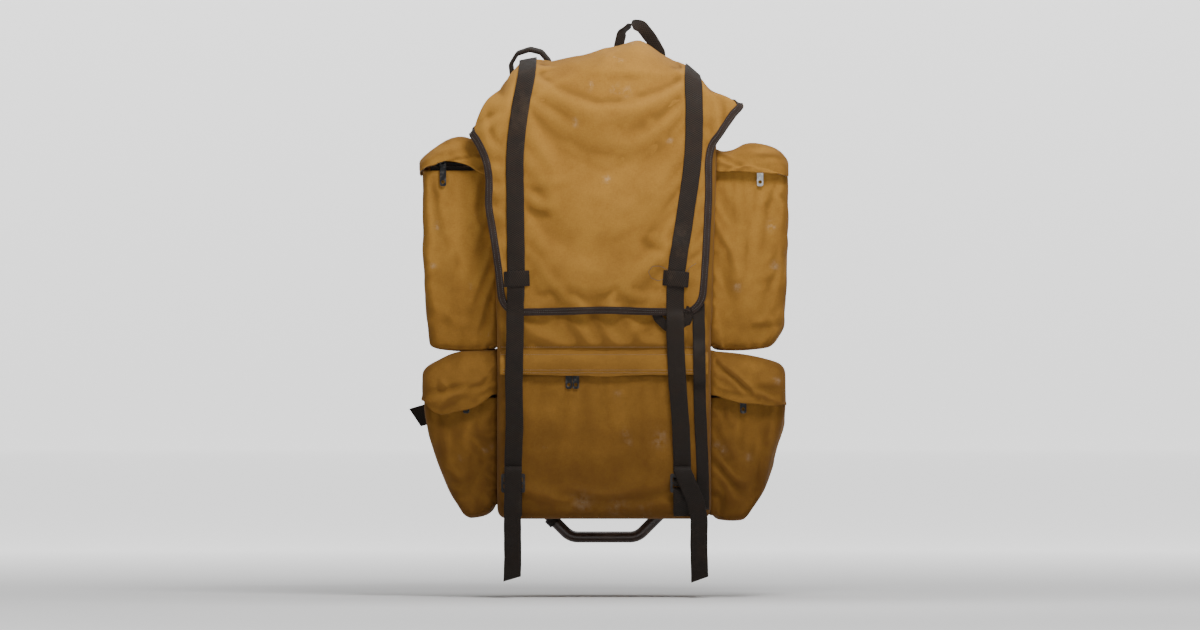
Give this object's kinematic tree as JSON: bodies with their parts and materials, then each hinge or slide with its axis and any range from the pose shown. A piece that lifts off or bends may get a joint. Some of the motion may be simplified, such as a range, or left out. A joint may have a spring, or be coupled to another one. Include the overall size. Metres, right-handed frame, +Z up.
{
  "type": "external frame hunting backpack",
  "caption": "External-frame canvas hunting pack with a buckled-down lid, zipped side pockets and lower compartment, webbing straps and a tubular frame.",
  "frame": {"origin": "middle of the frame's top bar, on its axis, where the hung pack rests on a peg or hook", "axes": "+X to the right seen from the front, along the top bar; +Y from the bag towards the wearer's back; +Z up"},
  "size_m": [0.5365, 0.3285, 0.806],
  "materials": {
    "canvas": "waxed cotton duck, worn",
    "canvas_lining": "coated inner face",
    "webbing": "woven nylon",
    "binding": "woven tape",
    "padding": "canvas over closed-cell foam",
    "frame_paint": "powder coat, rubbed",
    "steel": "plated",
    "zip_black": "black lacquer",
    "zip_bare": "bare zinc alloy",
    "zip_chain": "nylon coil on tape",
    "buckle": "moulded acetal"
  },
  "bodies": {
    "pack": {"frame_upper_bend": "frame_paint", "frame_lower_bend": "frame_paint", "frame_crossbars": "frame_paint", "frame_sleeves": "steel", "clevis_pins": "steel", "back_bands": "webbing", "strap_threading": "webbing", "strap_anchors": "webbing", "side_strap": "webbing", "under_lid_loop": "webbing", "frame_lug_loop": "webbing", "harness_anchors": "webbing", "bag_back_panel": "canvas", "bag_upper_front": "canvas", "bag_lower_front": "canvas", "bag_bottom": "canvas", "bag_sides": "canvas", "mouth_hem": "canvas", "lower_storm_flap": "canvas", "hood_seams": "canvas", "bag_divider": "canvas_lining", "ladder_locks": "buckle", "lower_zip_chain": "zip_chain", "pocket_zip_chains": "zip_chain", "pocket_upper_left_body": "canvas", "pocket_lower_left_body": "canvas", "pocket_upper_right_body": "canvas", "pocket_lower_right_body": "canvas"},
    "lid": {"lid": "canvas", "lid_binding": "binding", "strap_keepers": "webbing", "lid_top_loop": "webbing", "closure_straps_upper": "webbing"},
    "closure_strap_left": {"strap_left_lower": "webbing"},
    "strap_tail_left": {"strap_left_tail": "webbing"},
    "closure_strap_right": {"strap_right_lower": "webbing"},
    "strap_tail_right": {"strap_right_tail": "webbing"},
    "lower_zip_left_slider": {"lower_zip_left_slider": "zip_black"},
    "lower_zip_left_pull": {"lower_zip_left_pull": "zip_black"},
    "lower_zip_right_slider": {"lower_zip_right_slider": "zip_black"},
    "lower_zip_right_pull": {"lower_zip_right_pull": "zip_black"},
    "pocket_upper_left_hood": {"pocket_upper_left_hood": "canvas"},
    "pocket_upper_left_slider": {"pocket_upper_left_slider": "zip_black"},
    "pocket_upper_left_pull": {"pocket_upper_left_pull": "zip_black"},
    "pocket_upper_right_hood": {"pocket_upper_right_hood": "canvas"},
    "pocket_upper_right_slider": {"pocket_upper_right_slider": "zip_bare"},
    "pocket_upper_right_pull": {"pocket_upper_right_pull": "zip_bare"},
    "pocket_lower_left_hood": {"pocket_lower_left_hood": "canvas"},
    "pocket_lower_left_slider": {"pocket_lower_left_slider": "zip_black"},
    "pocket_lower_left_pull": {"pocket_lower_left_pull": "zip_black"},
    "pocket_lower_right_hood": {"pocket_lower_right_hood": "canvas"},
    "pocket_lower_right_slider": {"pocket_lower_right_slider": "zip_black"},
    "pocket_lower_right_pull": {"pocket_lower_right_pull": "zip_black"},
    "haul_loop": {"haul_loop": "webbing"},
    "shoulder_strap_left": {"shoulder_left_web": "webbing", "shoulder_left_pad": "padding"},
    "hip_belt_left": {"hip_belt_left": "webbing"},
    "shoulder_strap_right": {"shoulder_right_web": "webbing", "shoulder_right_pad": "padding"},
    "hip_belt_right": {"hip_belt_right": "webbing"}
  },
  "joints": [
    {"name": "lid_hinge", "type": "hinge", "parent": "pack", "child": "lid", "pos_m": [0, -0.0145, 0.016], "axis": [-1, 0, 0], "range_deg": [0, 85]},
    {"name": "closure_strap_left_hang", "type": "hinge", "parent": "lid", "child": "closure_strap_left", "pos_m": [-0.126, -0.227, -0.35], "axis": [-1, 0, 0], "range_deg": [-85, 0]},
    {"name": "strap_tail_left_swing", "type": "hinge", "parent": "pack", "child": "strap_tail_left", "pos_m": [-0.126, -0.232, -0.565], "axis": [-1, 0, 0], "range_deg": [0, 45]},
    {"name": "closure_strap_right_hang", "type": "hinge", "parent": "lid", "child": "closure_strap_right", "pos_m": [0.101, -0.227, -0.35], "axis": [-1, 0, 0], "range_deg": [-85, 0]},
    {"name": "strap_tail_right_swing", "type": "hinge", "parent": "pack", "child": "strap_tail_right", "pos_m": [0.101, -0.232, -0.565], "axis": [-1, 0, 0], "range_deg": [0, 45]},
    {"name": "lower_zip_left_run", "type": "slide", "parent": "pack", "child": "lower_zip_left_slider", "axis": [1, 0, 0], "range_m": [-0.088, 0]},
    {"name": "lower_zip_left_pull_swing", "type": "hinge", "parent": "lower_zip_left_slider", "child": "lower_zip_left_pull", "pos_m": [-0.05, -0.2195, -0.4193], "axis": [-1, 0, 0], "range_deg": [0, 10]},
    {"name": "lower_zip_right_run", "type": "slide", "parent": "pack", "child": "lower_zip_right_slider", "axis": [1, 0, 0], "range_m": [0, 0.16]},
    {"name": "lower_zip_right_pull_swing", "type": "hinge", "parent": "lower_zip_right_slider", "child": "lower_zip_right_pull", "pos_m": [-0.04, -0.2195, -0.4193], "axis": [-1, 0, 0], "range_deg": [0, 10]},
    {"name": "pocket_upper_left_hood_hinge", "type": "hinge", "parent": "pack", "child": "pocket_upper_left_hood", "pos_m": [-0.158, -0.115, -0.091], "axis": [0, 1, 0], "range_deg": [0, 90]},
    {"name": "pocket_upper_left_zip_run", "type": "slide", "parent": "pack", "child": "pocket_upper_left_slider", "axis": [1, 0, 0], "range_m": [-0.016, 0.071]},
    {"name": "pocket_upper_left_pull_swing", "type": "hinge", "parent": "pocket_upper_left_slider", "child": "pocket_upper_left_pull", "pos_m": [-0.229, -0.1875, -0.1313], "axis": [-1, 0, 0], "range_deg": [0, 12]},
    {"name": "pocket_upper_right_hood_hinge", "type": "hinge", "parent": "pack", "child": "pocket_upper_right_hood", "pos_m": [0.158, -0.115, -0.091], "axis": [0, -1, 0], "range_deg": [0, 90]},
    {"name": "pocket_upper_right_zip_run", "type": "slide", "parent": "pack", "child": "pocket_upper_right_slider", "axis": [1, 0, 0], "range_m": [-0.064, 0.023]},
    {"name": "pocket_upper_right_pull_swing", "type": "hinge", "parent": "pocket_upper_right_slider", "child": "pocket_upper_right_pull", "pos_m": [0.222, -0.1875, -0.1313], "axis": [-1, 0, 0], "range_deg": [0, 12]},
    {"name": "pocket_lower_left_hood_hinge", "type": "hinge", "parent": "pack", "child": "pocket_lower_left_hood", "pos_m": [-0.158, -0.115, -0.402], "axis": [0, 1, 0], "range_deg": [0, 7]},
    {"name": "pocket_lower_left_zip_run", "type": "slide", "parent": "pack", "child": "pocket_lower_left_slider", "axis": [1, 0, 0], "range_m": [-0.045, 0.038]},
    {"name": "pocket_lower_left_pull_swing", "type": "hinge", "parent": "pocket_lower_left_slider", "child": "pocket_lower_left_pull", "pos_m": [-0.196, -0.1875, -0.4543], "axis": [-1, 0, 0], "range_deg": [0, 12]},
    {"name": "pocket_lower_right_hood_hinge", "type": "hinge", "parent": "pack", "child": "pocket_lower_right_hood", "pos_m": [0.158, -0.115, -0.402], "axis": [0, -1, 0], "range_deg": [0, 7]},
    {"name": "pocket_lower_right_zip_run", "type": "slide", "parent": "pack", "child": "pocket_lower_right_slider", "axis": [1, 0, 0], "range_m": [-0.04, 0.043]},
    {"name": "pocket_lower_right_pull_swing", "type": "hinge", "parent": "pocket_lower_right_slider", "child": "pocket_lower_right_pull", "pos_m": [0.198, -0.1875, -0.4543], "axis": [-1, 0, 0], "range_deg": [0, 12]},
    {"name": "haul_loop_swing", "type": "hinge", "parent": "pack", "child": "haul_loop", "pos_m": [0, 0, 0], "axis": [-1, 0, 0], "range_deg": [0, 70], "stiffness_Nm_per_rad": 0.02, "springref_deg": -17.19},
    {"name": "shoulder_strap_left_swing", "type": "hinge", "parent": "pack", "child": "shoulder_strap_left", "pos_m": [-0.062, 0.024, -0.292], "axis": [0, 0, 1], "range_deg": [0, 30]},
    {"name": "hip_belt_left_swing", "type": "hinge", "parent": "pack", "child": "hip_belt_left", "pos_m": [-0.098, 0, -0.443], "axis": [0, 0, -1], "range_deg": [0, 75]},
    {"name": "shoulder_strap_right_swing", "type": "hinge", "parent": "pack", "child": "shoulder_strap_right", "pos_m": [0.062, 0.024, -0.292], "axis": [0, 0, -1], "range_deg": [0, 30]},
    {"name": "hip_belt_right_swing", "type": "hinge", "parent": "pack", "child": "hip_belt_right", "pos_m": [0.098, 0, -0.443], "axis": [0, 0, 1], "range_deg": [0, 75]}
  ],
  "couplings": [
    {"joint": "closure_strap_left_hang", "follows": "lid_hinge", "ratio": -1},
    {"joint": "closure_strap_right_hang", "follows": "lid_hinge", "ratio": -1}
  ]
}
